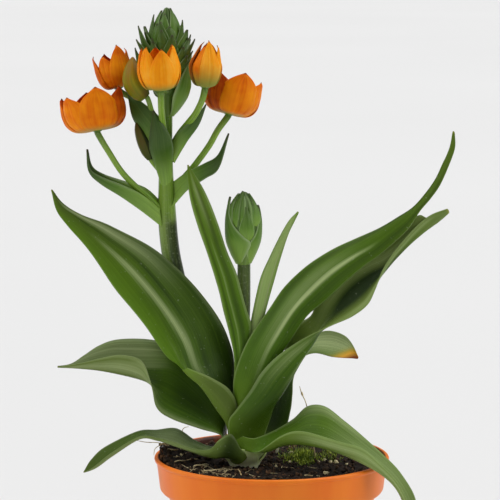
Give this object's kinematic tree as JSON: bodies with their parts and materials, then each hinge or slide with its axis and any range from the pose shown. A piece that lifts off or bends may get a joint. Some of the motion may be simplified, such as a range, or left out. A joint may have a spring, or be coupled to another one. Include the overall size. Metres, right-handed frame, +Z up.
{
  "type": "potted star-of-bethlehem",
  "caption": "Bulb plant with orange cup-shaped flowers, bud heads and strap leaves, in a plastic nursery pot.",
  "frame": {"origin": "middle of the underside of the pot", "axes": "+Z up, -Y the side that the picture shows, +X to the right of that view"},
  "size_m": [0.2031, 0.12, 0.3334],
  "materials": {
    "pot_plastic": "moulded orange plastic, satin",
    "soil": "moist peat potting soil",
    "neck": "pale sheath of leaf bases",
    "leaf": "smooth fleshy leaf with a soft gloss",
    "stalk": "smooth fleshy stalk",
    "bract": "dull green bract with fine veins",
    "petal": "thin waxy petal",
    "flower_heart": "waxy ovary and powdery anthers",
    "bud": "closed waxy bud"
  },
  "bodies": {
    "root": {"pot": "pot_plastic", "soil": "soil", "bulb_neck": "neck", "leaf_left_tall": "leaf", "leaf_left_arched": "leaf", "leaf_left_low": "leaf", "leaf_right_low": "leaf", "leaf_right_front": "leaf", "leaf_right_long": "leaf", "leaf_right_back": "leaf", "leaf_centre_tall": "leaf", "leaf_centre_narrow": "leaf", "stalk_main": "stalk", "stalk_short": "stalk", "head_main": "bract", "head_short": "bract", "flower_1": "petal", "flower_2": "petal", "flower_3": "petal", "flower_4": "petal", "flower_5": "petal", "flower_1_heart": "flower_heart", "flower_2_heart": "flower_heart", "flower_3_heart": "flower_heart", "flower_4_heart": "flower_heart", "flower_5_heart": "flower_heart", "bud_left": "bud", "bud_low": "bud"}
  },
  "joints": []
}
